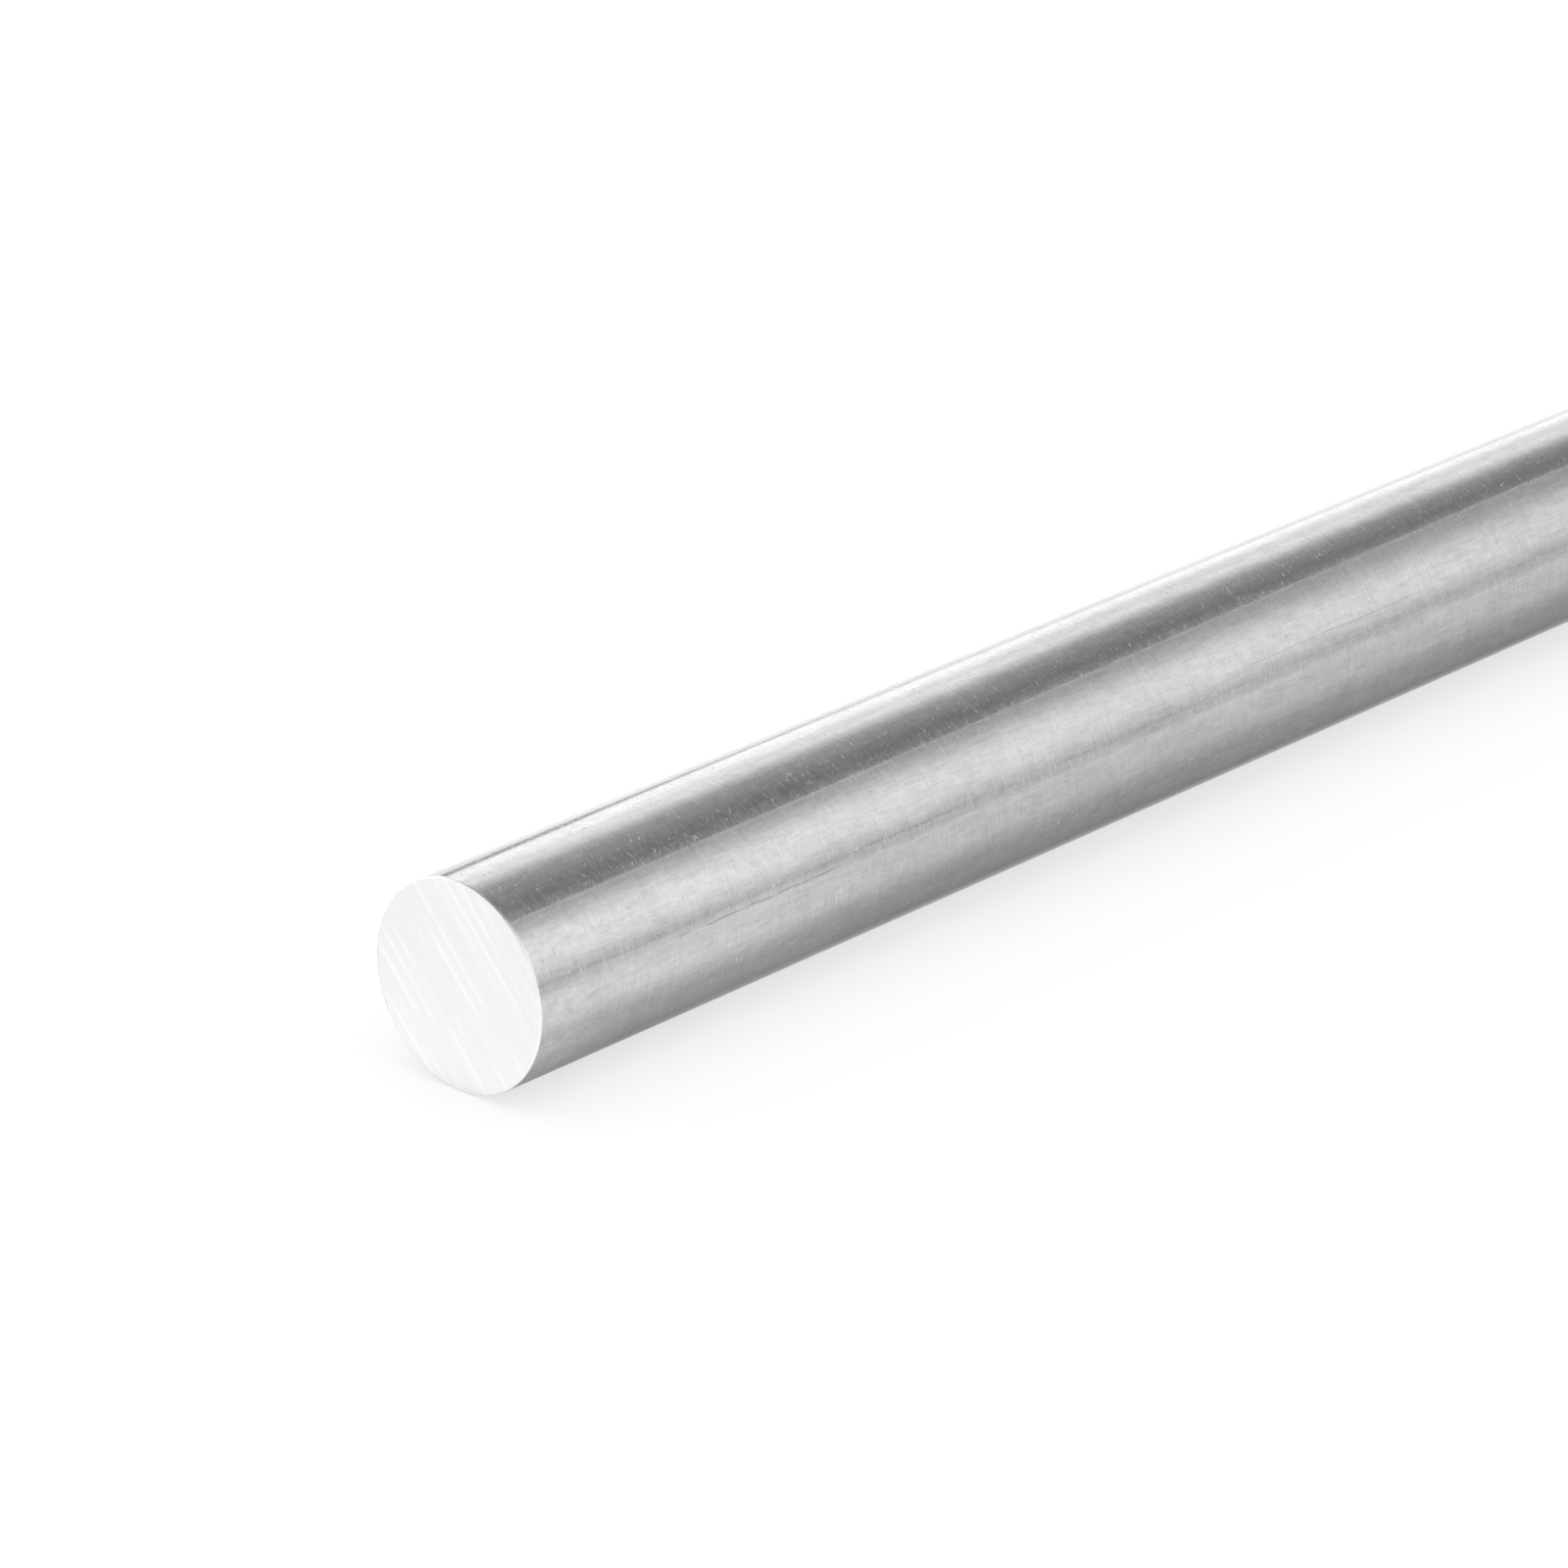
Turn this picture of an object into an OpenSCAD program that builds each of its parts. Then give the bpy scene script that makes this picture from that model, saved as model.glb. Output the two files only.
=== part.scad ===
// Round metal bar, cut to length from ground stock.
// It lies along X, centred, and touches the floor (Z = 0) along its whole length. Millimetres, +Z up.

/* [Bar] */
// Diameter over the ground surface
bar_d = 20; // [8:1:60]
// Length from one sawn face to the other
bar_l = 300; // [100:10:1000]

/* [Sawn ends] */
// Width of the corner that deburring takes off each end, at 45 degrees
edge_break = 0.2; // [0.05:0.05:1]

/* [Hidden] */

// Facets round the bar in the preview
round_fn = 180;
bar_r = bar_d / 2;

// Half of the bar's lengthwise section, with its axis on Y and both corners broken
module half_section() {
    polygon([
        [0, 0],
        [bar_r - edge_break, 0],
        [bar_r, edge_break],
        [bar_r, bar_l - edge_break],
        [bar_r - edge_break, bar_l],
        [0, bar_l]
    ]);
}

// One solid bar, turned from its half section and laid down
module round_bar() {
    color("silver")
        translate([-bar_l / 2, 0, bar_r])
            rotate([0, 90, 0])
                rotate_extrude($fn = round_fn)
                    half_section();
}

round_bar();
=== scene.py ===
import math

import bmesh
import bpy
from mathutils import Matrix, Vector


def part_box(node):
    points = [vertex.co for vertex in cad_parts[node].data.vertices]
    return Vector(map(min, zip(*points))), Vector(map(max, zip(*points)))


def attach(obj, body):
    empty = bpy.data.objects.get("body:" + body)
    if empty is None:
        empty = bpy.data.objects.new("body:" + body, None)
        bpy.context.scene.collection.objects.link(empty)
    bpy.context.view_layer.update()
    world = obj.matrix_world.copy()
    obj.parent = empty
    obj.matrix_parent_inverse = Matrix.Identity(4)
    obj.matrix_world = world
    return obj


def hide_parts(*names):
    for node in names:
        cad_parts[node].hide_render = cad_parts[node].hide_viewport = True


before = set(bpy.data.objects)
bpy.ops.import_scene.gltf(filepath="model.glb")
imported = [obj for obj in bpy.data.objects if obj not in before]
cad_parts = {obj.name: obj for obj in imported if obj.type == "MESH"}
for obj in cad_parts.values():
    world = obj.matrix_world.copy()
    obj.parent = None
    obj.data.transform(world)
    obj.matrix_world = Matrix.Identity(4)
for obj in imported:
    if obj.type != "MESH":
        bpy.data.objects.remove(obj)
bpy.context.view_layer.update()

# THE BAR
# One length of bright steel bar. It is ground on a centreless machine, so its side is a true cylinder,
# and the machine leaves it clean from end to end. It lies on the floor on its side.
BAR_LOW, BAR_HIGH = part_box("round_bar")
BAR_LENGTH = BAR_HIGH[0] - BAR_LOW[0]
BAR_RADIUS = (BAR_HIGH[2] - BAR_LOW[2]) / 2
SIDE_FACETS = 360
SIDE_CUTS = 23
EDGE_BREAK = 0.0002
EDGE_BREAK_STEPS = 4
# A narrow row of faces on either side of the corner, so that the smooth shading stays flat beyond it.
HOLD_LOOP = 0.0001
# The X of a face's normal is over the first on a sawn end, and under the second on the straight side.
END_FACING = 0.9
SIDE_FACING = 0.01


def pick_faces(piece, wanted):
    """Selects the faces that wanted(face) is true for, and nothing else, in edit mode."""
    bpy.ops.mesh.select_mode(type="FACE")
    bpy.ops.mesh.select_all(action="DESELECT")
    shell = bmesh.from_edit_mesh(piece.data)
    for face in shell.faces:
        face.select_set(wanted(face))
    bmesh.update_edit_mesh(piece.data)


def on_an_end(face):
    """True for the flat of either sawn end."""
    at_an_end = abs(face.calc_center_median().x) > BAR_LENGTH / 2 - EDGE_BREAK / 2
    return at_an_end and abs(face.normal.x) > END_FACING


def on_the_side(face):
    """True for the straight side, up to the broken corners."""
    return abs(face.normal.x) < SIDE_FACING


def cut_side(piece, place):
    """Cuts the side into a row of faces more, all round the bar at one place along it."""
    pick_faces(piece, on_the_side)
    bpy.ops.mesh.bisect(plane_co=(place, 0, 0), plane_no=(1, 0, 0))


bpy.ops.object.select_all(action="DESELECT")
bpy.ops.mesh.primitive_cylinder_add(
    vertices=SIDE_FACETS,
    radius=BAR_RADIUS,
    depth=BAR_LENGTH,
    end_fill_type="NGON",
    location=(0, 0, BAR_RADIUS),
    rotation=(0, math.radians(90), 0),
)
bar = bpy.context.object
bar.name = "ground_bar"
bpy.ops.object.transform_apply(location=True, rotation=True, scale=True)

bpy.ops.object.mode_set(mode="EDIT")
pick_faces(bar, on_an_end)
bpy.ops.mesh.bevel(offset=EDGE_BREAK, segments=EDGE_BREAK_STEPS, affect="EDGES")
for end in (-1, 1):
    cut_side(bar, end * (BAR_LENGTH / 2 - EDGE_BREAK - HOLD_LOOP))
for cut in range(SIDE_CUTS):
    cut_side(bar, (cut + 1) / (SIDE_CUTS + 1) * BAR_LENGTH - BAR_LENGTH / 2)

# THE SAWN ENDS
# A band saw cut both ends. Its teeth left shallow ridges that run straight across the face, all one way,
# uneven in depth and spacing. A file then took the sharp corner off.
# Degrees from level, at the near end and at the far end.
SAW_ANGLE = {-1: 48, 1: 64}
SAW_LINES = 130
SAW_CROSS_CUTS = 5
SAWN_RADIUS = BAR_RADIUS - EDGE_BREAK - HOLD_LOOP
SAW_RELIEF = 0.000007
SAW_RIDGE_WIDTH = 0.00085
SAW_RIDGE_LENGTH = 0.01125
# How far the pattern's middle is from the axis, to either side, so that the two ends aren't alike.
SAW_ASIDE = 0.004
FILED_RELIEF = 0.00005
FILED_WAVE = 0.003
# The filed corner runs from near the face to just past the edge break, in edge breaks from the face.
FILED_FROM = 1 / 40
FILED_TO = 1.02
PATTERN_GRAIN = 0.25
PATTERN_DETAIL = 2
SMOOTH_ANGLE = 40

pick_faces(bar, on_an_end)
bpy.ops.mesh.inset(thickness=HOLD_LOOP)
for end, angle in SAW_ANGLE.items():
    along = (0, math.cos(math.radians(angle)), math.sin(math.radians(angle)))
    across = (0, -along[2], along[1])
    for number, steps in ((SAW_LINES, across), (SAW_CROSS_CUTS, along)):
        for line in range(number):
            shift = ((line + 0.5) / number * 2 - 1) * SAWN_RADIUS
            pick_faces(bar, lambda face: on_an_end(face) and face.calc_center_median().x * end > 0)
            bpy.ops.mesh.bisect(
                plane_co=(end * BAR_LENGTH / 2, shift * steps[1], BAR_RADIUS + shift * steps[2]),
                plane_no=steps,
            )
bpy.ops.object.mode_set(mode="OBJECT")


def from_axis(corner):
    """How far a corner of the mesh is from the bar's axis."""
    return math.hypot(corner.co.y, corner.co.z - BAR_RADIUS)


def select_alone(piece):
    """Makes the piece the only selected object, and the active one."""
    bpy.ops.object.select_all(action="DESELECT")
    piece.select_set(True)
    bpy.context.view_layer.objects.active = piece


def push_along_x(piece, name, corners, relief, size, place=(0, 0, 0), turn=(0, 0, 0)):
    """Moves some corners of the mesh along X by an uneven pattern of that relief and size."""
    group = piece.vertex_groups.new(name=name)
    group.add(corners, 1.0, "REPLACE")
    pattern = bpy.data.textures.new(name, "CLOUDS")
    pattern.noise_scale = PATTERN_GRAIN
    pattern.noise_depth = PATTERN_DETAIL
    marker = bpy.data.objects.new(name + "_marker", None)
    bpy.context.collection.objects.link(marker)
    marker.location = place
    marker.rotation_euler = turn
    marker.scale = [side / PATTERN_GRAIN for side in size]
    bpy.context.view_layer.update()
    push = piece.modifiers.new(name, "DISPLACE")
    push.texture = pattern
    push.texture_coords = "OBJECT"
    push.texture_coords_object = marker
    push.direction = "X"
    push.mid_level = 0.5
    push.strength = relief
    push.vertex_group = group.name
    select_alone(piece)
    bpy.ops.object.modifier_apply(modifier=push.name)
    piece.vertex_groups.remove(piece.vertex_groups[name])
    bpy.data.objects.remove(marker)
    bpy.data.textures.remove(pattern)


for end, angle in SAW_ANGLE.items():
    end_x = end * BAR_LENGTH / 2
    cut_face = [
        corner.index
        for corner in bar.data.vertices
        if abs(corner.co.x - end_x) < EDGE_BREAK / 4 and from_axis(corner) < SAWN_RADIUS + HOLD_LOOP / 2
    ]
    filed_corner = [
        corner.index
        for corner in bar.data.vertices
        if EDGE_BREAK * FILED_FROM < abs(corner.co.x - end_x) < EDGE_BREAK * FILED_TO
    ]
    push_along_x(
        bar,
        "saw_ridges",
        cut_face,
        SAW_RELIEF,
        (SAW_RIDGE_WIDTH, SAW_RIDGE_LENGTH, SAW_RIDGE_WIDTH),
        place=(end_x, SAW_ASIDE * end, BAR_RADIUS),
        turn=(math.radians(angle), 0, 0),
    )
    push_along_x(bar, "filed_corner", filed_corner, FILED_RELIEF, (FILED_WAVE,) * 3)
select_alone(bar)
bpy.ops.object.shade_smooth_by_angle(angle=math.radians(SMOOTH_ANGLE))

# THE GROUND FINISH
# The grinding wheel leaves fine lines round the bar, some a little aslant, with short scratches and pale
# flecks among them. Handling rubs the bar in patches and near its ends, and adds a few hairlines along it.
STEEL = 0.685
POLISH = 0.062
LEAST_ROUGHNESS = 0.03
MM = 0.001
# How much each mark changes the grey of the steel, as a share of it.
CLOUD_SHADE = 0.16
HANDLED_SHADE = 0.08
MOTTLE_SHADE = 0.24
LINE_SHADE = 0.12
LINE_PATCH_SHADE = 0.22
ASLANT_SHADE = 0.16
DRAWN_SHADE = 0.32
DRAWN_PATCH_SHADE = 0.10
SCRATCH_SHINE = 0.05
FLECK_SHINE = 0.26
RUB_SHADE = 0.13
PIT_SHADE = 0.30
HAIRLINE_SHADE = 0.37
# How much each mark changes the roughness.
CLOUD_DULL = 0.03
LINE_DULL = 0.14
ASLANT_DULL = 0.10
SCRATCH_DULL = 0.24
FLECK_DULL = 1.05
RUB_DULL = 0.12
PIT_DULL = 0.15
HAIRLINE_DULL = 0.10
# How deep each mark is.
LINE_DEPTH = 0.0005 * MM
ASLANT_DEPTH = 0.0005 * MM
DRAWN_DEPTH = 0.0003 * MM
FLECK_DEPTH = 0.0012 * MM
WAVE_DEPTH = 0.012 * MM
# A separate mark fades from its rim to its core, in shares of its cell, and weak ones are left out.
MARK_RIM = 0.17
MARK_CORE = 0.04
MARK_CHANCE = 0.35
FLECK_LEAST = 0.15
RUB_LEAST = 0.25
RUBBED_END = 14 * MM
HAIRLINE_WANDER = 0.30 * MM
HAIRLINE_FADE = 4 * MM
HAIRLINE_CORE = 0.02 * MM
# Each hairline's degrees up round the bar from its front, its start and end in metres from the near end, its
# rise in metres per metre, its width in mm and its strength.
HAIRLINES = (
    {"round": 11, "from": 0.016, "to": 0.040, "rise": 0.006, "wide": 0.11, "deep": 1.0},
    {"round": 16, "from": 0.038, "to": 0.056, "rise": -0.004, "wide": 0.09, "deep": 0.6},
    {"round": -24, "from": 0.066, "to": 0.078, "rise": 0.012, "wide": 0.06, "deep": 0.6},
    {"round": 24, "from": 0.096, "to": 0.126, "rise": 0.003, "wide": 0.08, "deep": 0.6},
    {"round": 148, "from": 0.050, "to": 0.081, "rise": -0.005, "wide": 0.08, "deep": 0.6},
    {"round": 196, "from": 0.170, "to": 0.205, "rise": 0.004, "wide": 0.08, "deep": 0.6},
    {"round": 66, "from": 0.215, "to": 0.238, "rise": 0.007, "wide": 0.07, "deep": 0.6},
)


class Wire:
    """A shader socket that Python sums can be written with. Each sum adds its Math node to the tree."""

    def __init__(self, tree, socket=None):
        self.tree = tree
        self.socket = socket

    def node(self, kind, settings=None, inputs=None, output=0):
        """Adds a node, sets its settings first and its sockets next, and returns one of its outputs."""
        made = self.tree.nodes.new(kind)
        for name, value in (settings or {}).items():
            setattr(made, name, value)
        for name, value in (inputs or {}).items():
            if isinstance(value, Wire):
                self.tree.links.new(value.socket, made.inputs[name])
            else:
                made.inputs[name].default_value = value
        return Wire(self.tree, made.outputs[output])

    def sum(self, operation, first, second=0.0):
        """One Math node on two values, each a wire or a number."""
        return self.node("ShaderNodeMath", {"operation": operation}, {0: first, 1: second})

    def __add__(self, other):
        return self.sum("ADD", self, other)

    def __radd__(self, other):
        return self.sum("ADD", other, self)

    def __sub__(self, other):
        return self.sum("SUBTRACT", self, other)

    def __rsub__(self, other):
        return self.sum("SUBTRACT", other, self)

    def __mul__(self, other):
        return self.sum("MULTIPLY", self, other)

    def __rmul__(self, other):
        return self.sum("MULTIPLY", other, self)

    def between(self, low, high):
        """0 at low and 1 at high, with soft ends. high may be the smaller one."""
        if low > high:
            return 1 - self.between(high, low)
        settings = {"interpolation_type": "SMOOTHSTEP", "clamp": True}
        inputs = {"Value": self, "From Min": low, "From Max": high}
        return self.node("ShaderNodeMapRange", settings, inputs)

    def swing(self, amount):
        """A pattern from 0 to 1 made into a change both up and down, as wide as amount in all."""
        return (self - 0.5) * amount


def new_finish(name, metallic):
    """A material, its tree and its shader node."""
    finish = bpy.data.materials.new(name)
    finish.use_nodes = True
    shader = finish.node_tree.nodes["Principled BSDF"]
    shader.inputs["Metallic"].default_value = metallic
    return finish, Wire(finish.node_tree), shader


def split_place(tree, output, axes="XYZ"):
    """The separate numbers of a texture coordinate, one for each axis that is asked for."""
    place = tree.node("ShaderNodeTexCoord", None, None, output)
    return [tree.node("ShaderNodeSeparateXYZ", None, {"Vector": place}, axis) for axis in axes]


def turn_sheet(sheet, size, turn):
    """The two axes of a flat sheet, turned by some degrees and counted in patterns of size mm."""
    u, v = sheet
    turn = math.radians(turn)
    across = (u * math.cos(turn) + v * math.sin(turn)) * (1 / (size[0] * MM))
    length = (v * math.cos(turn) - u * math.sin(turn)) * (1 / (size[1] * MM))
    return across, length


def flat_noise(sheet, size, layer, turn=0, detail=1.0, band=None):
    """Noise on a flat sheet, from 0 to 1. A band says which part of it is stretched over 0 to 1."""
    across, length = turn_sheet(sheet, size, turn)
    spot = across.node("ShaderNodeCombineXYZ", None, {"X": across, "Y": length, "Z": layer})
    inputs = {"Vector": spot, "Scale": 1.0, "Detail": detail, "Roughness": 0.5}
    noise = across.node("ShaderNodeTexNoise", {"noise_dimensions": "3D"}, inputs)
    return noise.between(*band) if band else noise


def separate_marks(sheet, size, layer, turn):
    """Small marks at random places on a flat sheet, each of its own strength, from 0 to 1."""
    across, length = turn_sheet(sheet, size, turn)
    spot = across.node("ShaderNodeCombineXYZ", None, {"X": across + layer, "Y": length})
    inputs = {"Vector": spot, "Scale": 1.0}
    settings = {"voronoi_dimensions": "2D"}
    reach = spot.node("ShaderNodeTexVoronoi", settings, inputs, "Distance")
    chance = spot.node("ShaderNodeTexVoronoi", settings, inputs, "Color")
    strength = spot.node("ShaderNodeSeparateColor", None, {"Color": chance}, "Red")
    strength = strength.between(MARK_CHANCE, 1.0)
    return reach.between(MARK_RIM, MARK_CORE) * strength * strength


def grey(level):
    """A neutral colour from a number."""
    return level.node("ShaderNodeCombineColor", None, {"Red": level, "Green": level, "Blue": level})


def connect(shader, name, wire):
    """Leads a wire to one of the shader's sockets."""
    wire.tree.links.new(wire.socket, shader.inputs[name])


def lay_on(shader, tone, roughness, height):
    """Gives a metal its grey, its roughness and its relief in metres."""
    connect(shader, "Base Color", grey(tone))
    connect(shader, "Roughness", roughness)
    bump = height.node("ShaderNodeBump", None, {"Strength": 1.0, "Distance": 1.0, "Height": height})
    connect(shader, "Normal", bump)


ground_steel, tree, shader = new_finish("ground_steel", metallic=1.0)
x, y, z = split_place(tree, "Object")
arc = tree.sum("ARCTAN2", y, z - BAR_RADIUS) * BAR_RADIUS
side = (x, arc)

clouds = flat_noise(side, size=(5.0, 3.5), layer=1.3, detail=3.0)
handled = flat_noise(side, size=(26.0, 11.0), layer=2.7)
mottle = flat_noise(side, size=(1.6, 0.7), layer=4.1, detail=3.0)
wave = flat_noise(side, size=(9.0, 6.0), layer=31.1)
patch = flat_noise(side, size=(2.8, 2.2), layer=5.2, band=(0.34, 0.66))
lines = flat_noise(side, size=(0.17, 3.2), layer=7.7, turn=3)
aslant = flat_noise(side, size=(0.16, 1.8), layer=9.2, turn=-14)
drawn = flat_noise((arc, x), size=(0.24, 2.6), layer=11.6)
scratch_one = flat_noise(side, size=(0.10, 0.70), layer=12.4, turn=4, detail=0.0, band=(0.54, 0.86))
scratch_two = flat_noise(side, size=(0.11, 0.55), layer=15.8, turn=-38, detail=0.0, band=(0.56, 0.86))
scratch = tree.sum("MAXIMUM", scratch_one, scratch_two)

crowd = flat_noise(side, size=(2.6, 0.9), layer=13.9, band=(0.36, 0.68))
fleck_one = separate_marks(side, size=(0.42, 2.00), layer=3.5, turn=-32)
fleck_two = separate_marks(side, size=(0.40, 1.90), layer=8.2, turn=5)
fleck = tree.sum("MAXIMUM", fleck_one, fleck_two) * (FLECK_LEAST + crowd * (1 - FLECK_LEAST))

rubbed = flat_noise(side, size=(4.0, 2.4), layer=17.5, band=(0.40, 0.66))
by_the_ends = tree.sum("ABSOLUTE", x).between(BAR_LENGTH / 2 - RUBBED_END, BAR_LENGTH / 2)
rubbed = tree.sum("MAXIMUM", rubbed, by_the_ends)
rub_one = flat_noise(side, size=(0.85, 0.11), layer=18.3, turn=-22, band=(0.50, 0.80))
rub_two = flat_noise(side, size=(0.75, 0.11), layer=20.9, turn=9, band=(0.52, 0.82))
rub = tree.sum("MAXIMUM", rub_one, rub_two) * (RUB_LEAST + rubbed * (1 - RUB_LEAST))
pit = flat_noise(side, size=(0.36, 0.36), layer=27.9, detail=0.0, band=(0.84, 0.90))

wander = flat_noise(side, size=(3.0, 30.0), layer=41.0).swing(HAIRLINE_WANDER)
along_bar = x + BAR_LENGTH / 2
hairline = 0.0
for line in HAIRLINES:
    start = math.radians(line["round"] - 90) * BAR_RADIUS - line["from"] * line["rise"]
    aside = tree.sum("ABSOLUTE", arc + wander - along_bar * line["rise"] - start)
    reach = along_bar.between(line["from"], line["from"] + HAIRLINE_FADE) * line["deep"]
    reach = reach * along_bar.between(line["to"], line["to"] - HAIRLINE_FADE)
    hairline = tree.sum("MAXIMUM", hairline, aside.between(line["wide"] * MM, HAIRLINE_CORE) * reach)
hairline = hairline * flat_noise(side, size=(1.6, 9.0), layer=44.0, band=(0.22, 0.54))

shade = clouds.swing(CLOUD_SHADE) + mottle.swing(MOTTLE_SHADE)
shade = shade + lines.swing(LINE_SHADE + patch * LINE_PATCH_SHADE) + aslant.swing(ASLANT_SHADE)
shade = shade + drawn.swing(DRAWN_SHADE - patch * DRAWN_PATCH_SHADE) + handled.swing(HANDLED_SHADE)
tone = STEEL * (1 + shade + scratch * SCRATCH_SHINE + fleck * FLECK_SHINE - rub * RUB_SHADE)
tone = tone * (1 - pit * PIT_SHADE) * (1 - hairline * HAIRLINE_SHADE)
roughness = POLISH + clouds.swing(CLOUD_DULL) + lines.swing(LINE_DULL) + aslant.swing(ASLANT_DULL)
roughness = tree.sum("MAXIMUM", roughness, LEAST_ROUGHNESS)
roughness = roughness + rub * RUB_DULL + pit * PIT_DULL + hairline * HAIRLINE_DULL
roughness = roughness + scratch * SCRATCH_DULL + fleck * FLECK_DULL
height = lines.swing(LINE_DEPTH) + aslant.swing(ASLANT_DEPTH) + drawn.swing(DRAWN_DEPTH)
lay_on(shader, tone, roughness, height - fleck * FLECK_DEPTH + wave * WAVE_DEPTH)

# THE SAWN FINISH
# The cut is bare metal that was never ground, duller than the side, and its grey is set paler than the
# side's: painted light that brightens the face. The teeth leave fine lines across it, and the feed of the
# blade leaves broader streaks, which show in places.
# Paler than bare steel: painted light on the cut face.
SAWN_STEEL = 0.86
SAWN_ROUGHNESS = 0.46
SAW_FEED = 1.3 * MM
STREAK_BEND = 1.6 * MM
STREAK_FROM = -0.1
STREAK_SHINE = 0.064
STREAK_POLISH = 0.03
BROAD_SHADE = 0.07
BROAD_DEPTH = 0.004 * MM
FINE_SHADE = 0.06
FINE_DULL = 0.10
FINE_DEPTH = 0.002 * MM


def sawn_finish(name, angle):
    """The finish of one sawn end, whose lines run at angle degrees from level."""
    finish, tree, shader = new_finish(name, metallic=1.0)
    y, z = split_place(tree, "Object", "YZ")
    z = z - BAR_RADIUS
    sheet = (z, y)
    broad = flat_noise(sheet, size=(1.1, 22.0), layer=2.2, turn=-angle, detail=2.0)
    fine = flat_noise(sheet, size=(0.22, 9.0), layer=5.5, turn=-angle, detail=2.0)
    bend = flat_noise(sheet, size=(4.0, 40.0), layer=6.1, turn=-angle).swing(STREAK_BEND)
    across = z * math.cos(math.radians(-angle)) + y * math.sin(math.radians(-angle)) + bend
    stroke = tree.sum("SINE", across * (2 * math.pi / SAW_FEED)).between(STREAK_FROM, 1.0)
    streak = stroke * flat_noise(sheet, size=(2.2, 7.5), layer=8.8, turn=-angle, band=(0.40, 0.66))
    tone = SAWN_STEEL * (1 + broad.swing(BROAD_SHADE) + fine.swing(FINE_SHADE) + streak * STREAK_SHINE)
    roughness = SAWN_ROUGHNESS + fine.swing(FINE_DULL) - streak * STREAK_POLISH
    lay_on(shader, tone, roughness, fine.swing(FINE_DEPTH) + broad.swing(BROAD_DEPTH))
    return finish


# THE FILED CORNER
# A file takes the sharp corner off at 45 degrees. It leaves the corner smoother than the cut, with short
# strokes that run aslant round it, and its grey is set a little paler than the cut's: a painted
# highlight along the rim.
# Paler than the cut: a painted highlight on the filed rim.
FILED_STEEL = 0.90
FILED_ROUGHNESS = 0.34
FILED_SHADE = 0.24
FILED_DULL = 0.20
FILED_DEPTH = 0.003 * MM

filed_steel, tree, shader = new_finish("filed_corner", metallic=1.0)
x, y, z = split_place(tree, "Object")
arc = tree.sum("ARCTAN2", y, z - BAR_RADIUS) * BAR_RADIUS
stroke = flat_noise((x, arc), size=(0.06, 0.5), layer=3.3, turn=30, detail=2.0)
tone = FILED_STEEL * (1 + stroke.swing(FILED_SHADE))
lay_on(shader, tone, FILED_ROUGHNESS + stroke.swing(FILED_DULL), stroke.swing(FILED_DEPTH))

# THE FINISHED BAR
# Side, corners and ends are one piece of steel, so the finishes go on by the way that each face looks. The
# piece stands for the whole bar.
SAWN_FACING = 0.97
FILED_FACING = 0.15

bar.data.materials.append(ground_steel)
bar.data.materials.append(sawn_finish("sawn_near_end", SAW_ANGLE[-1]))
bar.data.materials.append(sawn_finish("sawn_far_end", SAW_ANGLE[1]))
bar.data.materials.append(filed_steel)
for face in bar.data.polygons:
    if abs(face.normal.x) > SAWN_FACING:
        face.material_index = 1 if face.center.x < 0 else 2
    elif abs(face.normal.x) > FILED_FACING:
        face.material_index = 3

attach(bar, "root")
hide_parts("round_bar")

# THE TABLE
# A white table top, which is plain white in the picture and keeps the bar's soft shadow. The bar mirrors
# it, so the light that the table gives to the mirrored bar is painted reflection: patches of glow round
# and beside the bar, and a painted shade on the table's colour past the bar's near end.
FLOOR_SIZE = 8.0
TABLE_COLOUR = 0.62
# The camera sees a darker table with a glow of its own, and the two add up to white outside the shadow.
PICTURE_COLOUR = 0.38
PICTURE_FILL = 0.66
# A pair says where a patch is nothing and where it is full: ALONG in metres from the bar's near end, EDGE in
# metres behind its axis, and REACH in metres to either side of it.
# A painted shade on the table's colour beside the bar past its near end, which the bar mirrors darker.
PAINTED_TABLE_SHADE = 0.11
PAINTED_TABLE_SHADE_ALONG = (0.025, 0.055)
PAINTED_TABLE_SHADE_REACH = (0.06, 0.03)
# Painted reflection: glows on the table that only reflections see, in front of, behind, under and beside the
# bar, and beyond its near end.
FRONT_GLOW = 0.34
FRONT_OUTER_EDGE = (-0.095, -0.042)
FRONT_INNER_EDGE = (-0.0098, -0.0222)
FRONT_LOSS = 0.45
FRONT_LOSS_ALONG = (0.02, 0.10)
BACK_GLOW = 0.46
BACK_EDGE = (0.01, 0.06)
BACK_LOSS = 0.18
BACK_LOSS_EDGE = (0.06, 0.14)
UNDER_GLOW = 0.17
UNDER_REACH = (0.0065, 0.0042)
UNDER_AT_END = 0.62
UNDER_GAIN = 0.70
UNDER_ALONG = (0.01, 0.06)
NEAR_GLOW = 0.02
NEAR_REACH = (0.0115, 0.0090)
FAR_GLOW = 0.12
FAR_SLOPE = 0.9
FAR_ALONG = (0.058, 0.032)
FAR_OUTER_EDGE = (-0.30, -0.12)
FAR_INNER_EDGE = (-0.045, -0.075)
END_GLOW = 0.22
END_ALONG = (0.026, 0.002)
END_REACH = (0.034, 0.006)
END_MIDDLE = 0.45
END_MIDDLE_REACH = (0.0080, 0.0112)
LEFT_GLOW = 0.47
LEFT_ALONG = (0.006, -0.003)
FOOT_GLOW = 0.13
FOOT_ALONG = (-0.014, -0.002)
FOOT_REACH = (0.03, 0.015)

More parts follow.
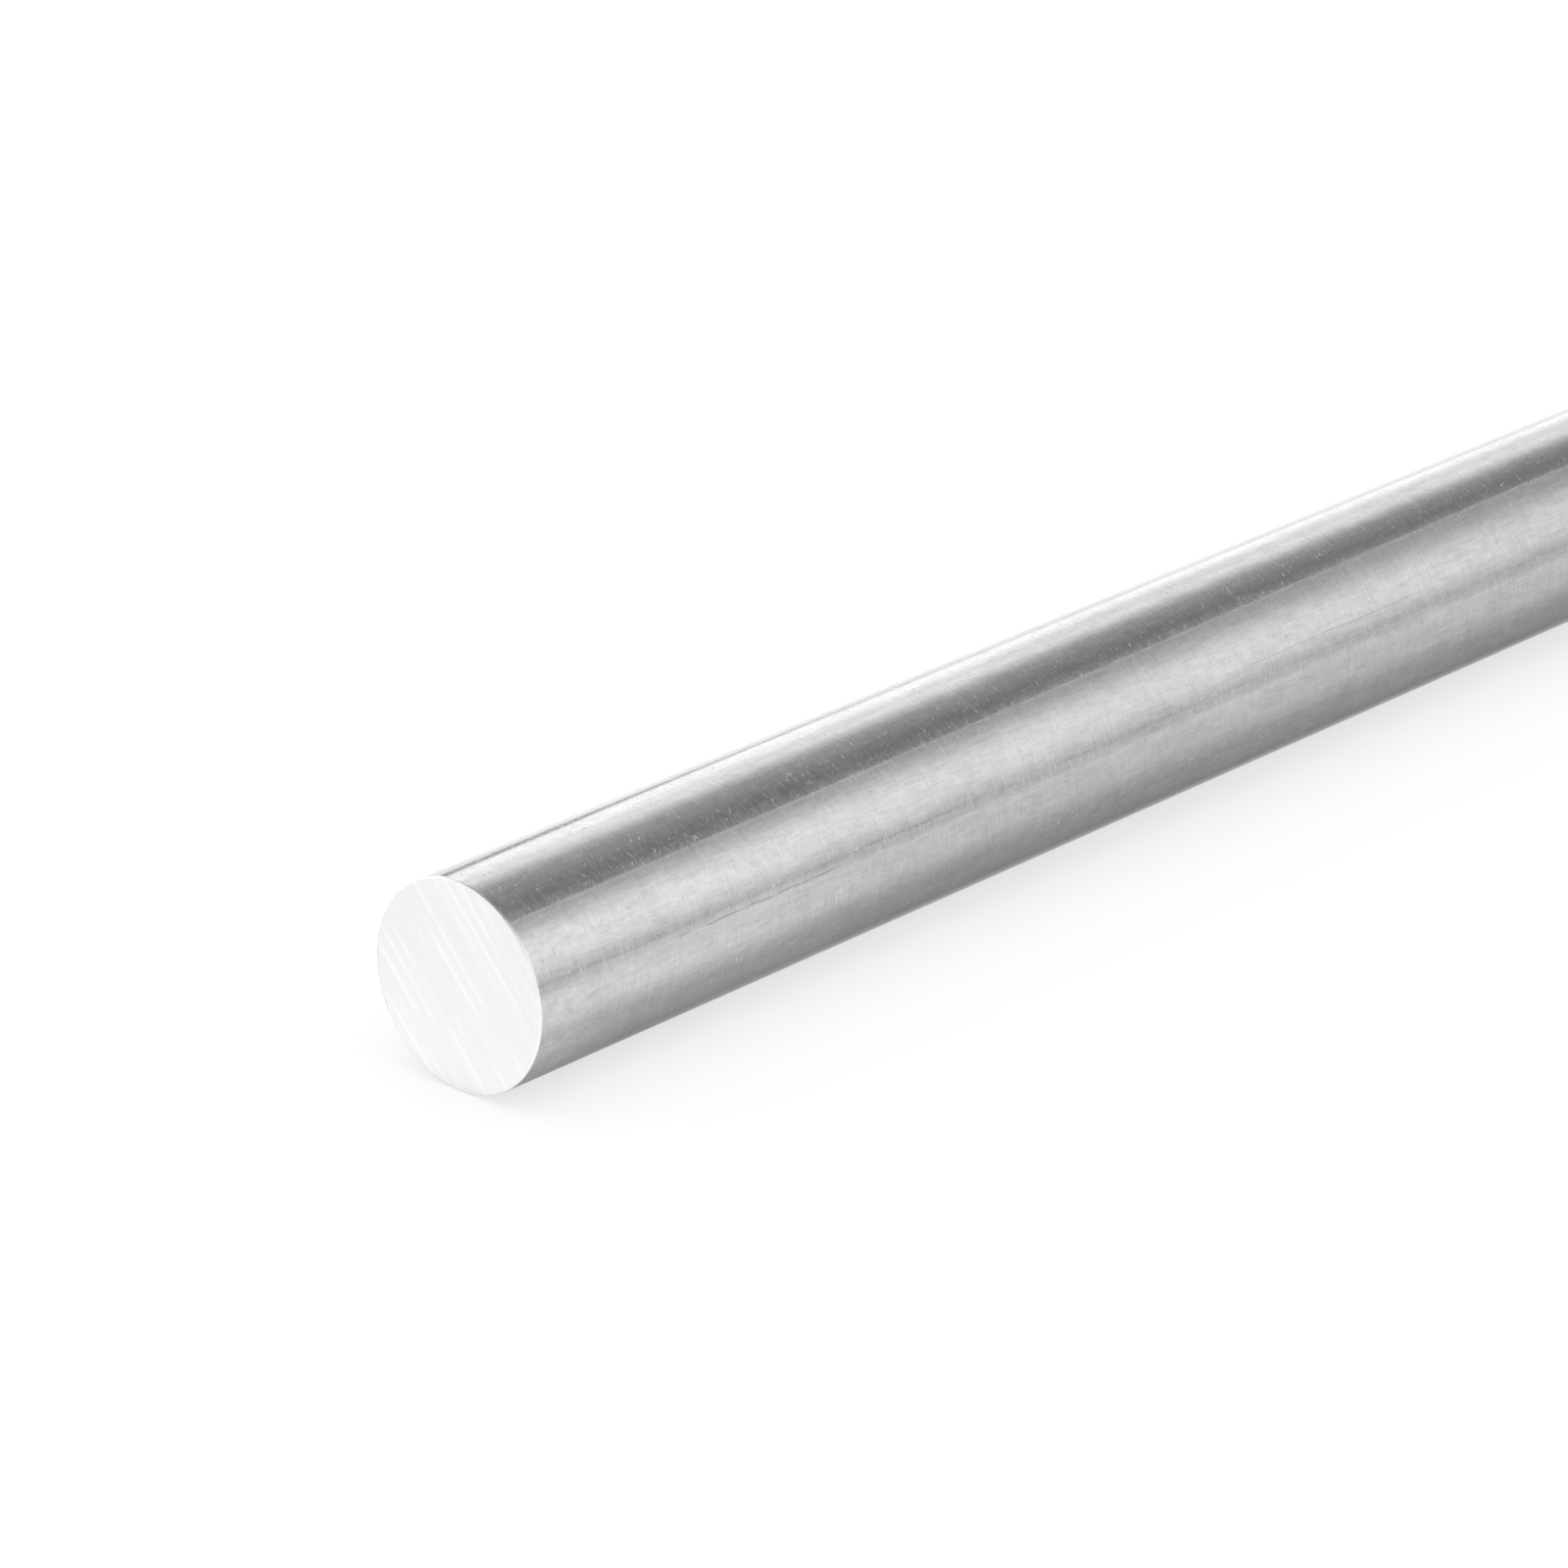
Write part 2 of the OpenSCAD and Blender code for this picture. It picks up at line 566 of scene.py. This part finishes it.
bpy.ops.object.select_all(action="DESELECT")
bpy.ops.mesh.primitive_plane_add(size=FLOOR_SIZE, location=(0, 0, 0))
floor = bpy.context.object
floor.name = "table_top"
table_white, tree, shader = new_finish("table_white", metallic=0.0)
shader.inputs["Roughness"].default_value = 1.0
shader.inputs["Specular IOR Level"].default_value = 0.0
shader.inputs["Emission Strength"].default_value = 1.0
sees_camera = tree.node("ShaderNodeLightPath", None, None, "Is Camera Ray")
sees_gloss = tree.node("ShaderNodeLightPath", None, None, "Is Glossy Ray")
floor_x, floor_y = split_place(tree, "Object", "XY")
along = floor_x + BAR_LENGTH / 2
sideways = tree.sum("ABSOLUTE", floor_y)

# Painted shade: the table's colour is darker beside the bar past its near end, for the mirrored bar.
table = PAINTED_TABLE_SHADE * along.between(*PAINTED_TABLE_SHADE_ALONG) * sideways.between(*PAINTED_TABLE_SHADE_REACH)
table = TABLE_COLOUR * (1 - table)
table = table + sees_camera * (PICTURE_COLOUR - table)
connect(shader, "Base Color", grey(table))

# The painted reflection: patches of glow on the table, seen only by glossy rays, though the table is no
# lamp.
painted_glow = floor_y.between(*FRONT_OUTER_EDGE) * floor_y.between(*FRONT_INNER_EDGE) * FRONT_GLOW
painted_glow = painted_glow * (1 - FRONT_LOSS * along.between(*FRONT_LOSS_ALONG))
painted_glow = painted_glow + floor_y.between(*BACK_EDGE) * (1 - BACK_LOSS * floor_y.between(*BACK_LOSS_EDGE)) * BACK_GLOW
under = sideways.between(*UNDER_REACH) * UNDER_GLOW
painted_glow = painted_glow + under * (UNDER_AT_END + UNDER_GAIN * along.between(*UNDER_ALONG))
painted_glow = painted_glow + sideways.between(*NEAR_REACH) * NEAR_GLOW
far_patch = (along + (floor_y + BAR_RADIUS) * FAR_SLOPE).between(*FAR_ALONG)
far_patch = far_patch * floor_y.between(*FAR_OUTER_EDGE) * floor_y.between(*FAR_INNER_EDGE)
painted_glow = painted_glow + far_patch * FAR_GLOW
by_end = along.between(*END_ALONG) * sideways.between(*END_REACH)
by_end = by_end * (END_MIDDLE + (1 - END_MIDDLE) * sideways.between(*END_MIDDLE_REACH))
painted_glow = tree.sum("MAXIMUM", painted_glow, by_end * END_GLOW)
foot = along.between(*FOOT_ALONG) * sideways.between(*FOOT_REACH)
left = along.between(*LEFT_ALONG) * (LEFT_GLOW + foot * FOOT_GLOW)
painted_glow = tree.sum("MAXIMUM", painted_glow, left)
connect(shader, "Emission Color", grey(sees_camera * PICTURE_FILL + sees_gloss * painted_glow))
floor.data.materials.append(table_white)

# THE SOFT LIGHTS
# A broad soft light to the front and another above and behind, with a dim gap between them that the bar
# mirrors as a dark band. A large lamp overhead, which the bar doesn't mirror, makes the soft shadow.
OVERHEAD_SIZE = 2.4
OVERHEAD_POWER = 20.0
OVERHEAD_HEIGHT = 2.0
DIM_GAP = 0.23
# LOW and TOP are pairs in degrees of lift: 0 is level in front, 90 overhead and 180 level behind. ALONG is
# a pair for the X of the direction, which is larger farther down the bar, and SLANT bends the bands there.
SLANT_START = 0.65
SLANT_REACH = 0.11
SLANT_RATE = 51
SLANT_GROWTH = 815
FRONT_BOX = 0.62
FRONT_BOX_LOW = (-14, 27)
FRONT_BOX_TOP = (75.5, 35.0)
FRONT_BOX_SLANT = 0.2
FRONT_BOX_LOSS = 0.31
FRONT_BOX_LOSS_ALONG = (0.64, 0.78)
FRONT_EDGE = 0.235
FRONT_EDGE_LOW = (-20, 0)
FRONT_EDGE_TOP = (71.4, 70.8)
EDGE_GLOW = 0.19
EDGE_GLOW_LOW = (68.2, 70.2)
EDGE_GLOW_TOP = (71.4, 70.9)
PAST_EDGE = (70.8, 71.4)
EDGE_SHADE = 0.075
EDGE_SHADE_TOP = (86, 71.4)
NEAR_HAZE = 0.07
NEAR_HAZE_TOP = (112, 92)
NEAR_HAZE_ALONG = (0.668, 0.640)
NEAR_LIMIT_ALONG = (0.55, 0.62)
BACK_HAZE = 0.205
BACK_HAZE_LOW = (84, 122)
BACK_HAZE_SLANT = 0.5
BACK_BOX = 0.64
BACK_BOX_LOW = (115, 140)
BACK_CORE = 0.235
BACK_CORE_LOW = (137, 157)
BACK_CORE_TOP = (184, 172)
BACK_CORE_SLANT = 1.5
BACK_CORE_SHIFT = 13.0
BACK_DIP = 0.12
BACK_DIP_LOW = (134, 149)
BACK_DIP_SLANT = (0.5, 4)
RIM_SHADE = 0.70
RIM_LIFT = 171.8
RIM_RATE = 330
RIM_HIGHEST = 181.0
RIM_LOW = (-10.0, -2.5)
RIM_TOP = (6.5, 2.5)
RIM_ALONG = (0.742, 0.645)
ENDWAYS_GLOW = 0.8
ENDWAYS = (0.975, 0.998)

world = bpy.data.worlds.new("studio")
bpy.context.scene.world = world
world.use_nodes = True
tree = Wire(world.node_tree)
ray_x, ray_y, ray_z = split_place(tree, "Generated")
lift = tree.sum("ARCTAN2", ray_z, -1 * ray_y) * (180 / math.pi)
beyond = tree.sum("MINIMUM", tree.sum("MAXIMUM", ray_x - SLANT_START, 0.0), SLANT_REACH)
slant = beyond * (SLANT_RATE + beyond * SLANT_GROWTH)
from_slant = lift - slant
near_limit = ray_x.between(*NEAR_LIMIT_ALONG)

front_box = lift.between(*FRONT_BOX_LOW) * (lift - slant * FRONT_BOX_SLANT).between(*FRONT_BOX_TOP)
front_box = front_box * (1 - FRONT_BOX_LOSS * ray_x.between(*FRONT_BOX_LOSS_ALONG))
front_edge = from_slant.between(*FRONT_EDGE_TOP) * lift.between(*FRONT_EDGE_LOW)
edge_glow = from_slant.between(*EDGE_GLOW_LOW) * from_slant.between(*EDGE_GLOW_TOP)
past_edge = from_slant.between(*PAST_EDGE)
edge_shade = from_slant.between(*EDGE_SHADE_TOP) * past_edge
near_haze = lift.between(*NEAR_HAZE_TOP) * ray_x.between(*NEAR_HAZE_ALONG) * near_limit
back_haze = (lift - slant * BACK_HAZE_SLANT).between(*BACK_HAZE_LOW)
back_box = lift.between(*BACK_BOX_LOW)
core_shift = tree.sum("MINIMUM", slant * BACK_CORE_SLANT, BACK_CORE_SHIFT)
back_core = (lift - core_shift).between(*BACK_CORE_LOW)
back_dip = lift.between(*BACK_DIP_LOW) * slant.between(*BACK_DIP_SLANT) * (1 - back_core)

seen = DIM_GAP + front_box * FRONT_BOX + front_edge * FRONT_EDGE
seen = seen + edge_glow * EDGE_GLOW + edge_shade * EDGE_SHADE + near_haze * past_edge * NEAR_HAZE
seen = seen + back_haze * BACK_HAZE + back_box * BACK_BOX
seen = seen + back_core * lift.between(*BACK_CORE_TOP) * BACK_CORE - back_dip * BACK_DIP

table_rim = tree.sum("MINIMUM", (ray_x - SLANT_START) * RIM_RATE + RIM_LIFT, RIM_HIGHEST)
rim_line = (lift - table_rim).between(*RIM_LOW) * (lift - table_rim).between(*RIM_TOP)
rim_line = rim_line * ray_x.between(*RIM_ALONG) * near_limit
seen = seen * (1 - rim_line * RIM_SHADE)
endways = tree.sum("ABSOLUTE", ray_x).between(*ENDWAYS)
seen = seen * (1 - endways) + endways * ENDWAYS_GLOW
sees_camera = tree.node("ShaderNodeLightPath", None, None, "Is Camera Ray")
seen = seen * (1 - sees_camera) + sees_camera
backdrop = world.node_tree.nodes["Background"]
backdrop.inputs["Color"].default_value = (1, 1, 1, 1)
connect(backdrop, "Strength", seen)

overhead = bpy.data.lights.new("overhead", "AREA")
overhead.shape = "RECTANGLE"
overhead.size = OVERHEAD_SIZE
overhead.size_y = OVERHEAD_SIZE
overhead.energy = OVERHEAD_POWER
overhead_lamp = bpy.data.objects.new("overhead", overhead)
overhead_lamp.location = (0, 0, OVERHEAD_HEIGHT)
overhead_lamp.visible_glossy = False
overhead_lamp.visible_camera = False
bpy.context.collection.objects.link(overhead_lamp)

# THE CAMERA
# It stands to the front and left of the near end and looks down on the bar, from about 32 diameters away.
# Its place, aim and lens are fitted to the outline of the bar in the picture.
CAMERA_PLACE = (-0.56338, -0.41316, 0.26754)
CAMERA_AIM = (0.68570, 0.62191, -0.37821)
LENS = 168.7
SENSOR = 36.0
NEAREST_SEEN = 0.01

lens = bpy.data.cameras.new("camera")
lens.lens = LENS
lens.sensor_width = SENSOR
lens.sensor_fit = "HORIZONTAL"
lens.clip_start = NEAREST_SEEN
camera = bpy.data.objects.new("camera", lens)
camera.location = CAMERA_PLACE
tilt_down = math.atan2(CAMERA_AIM[2], math.hypot(CAMERA_AIM[0], CAMERA_AIM[1]))
heading = math.atan2(-CAMERA_AIM[0], CAMERA_AIM[1])
camera.rotation_euler = (math.radians(90) + tilt_down, 0, heading)
bpy.context.collection.objects.link(camera)
bpy.context.scene.camera = camera
bpy.context.scene.view_settings.view_transform = "Standard"
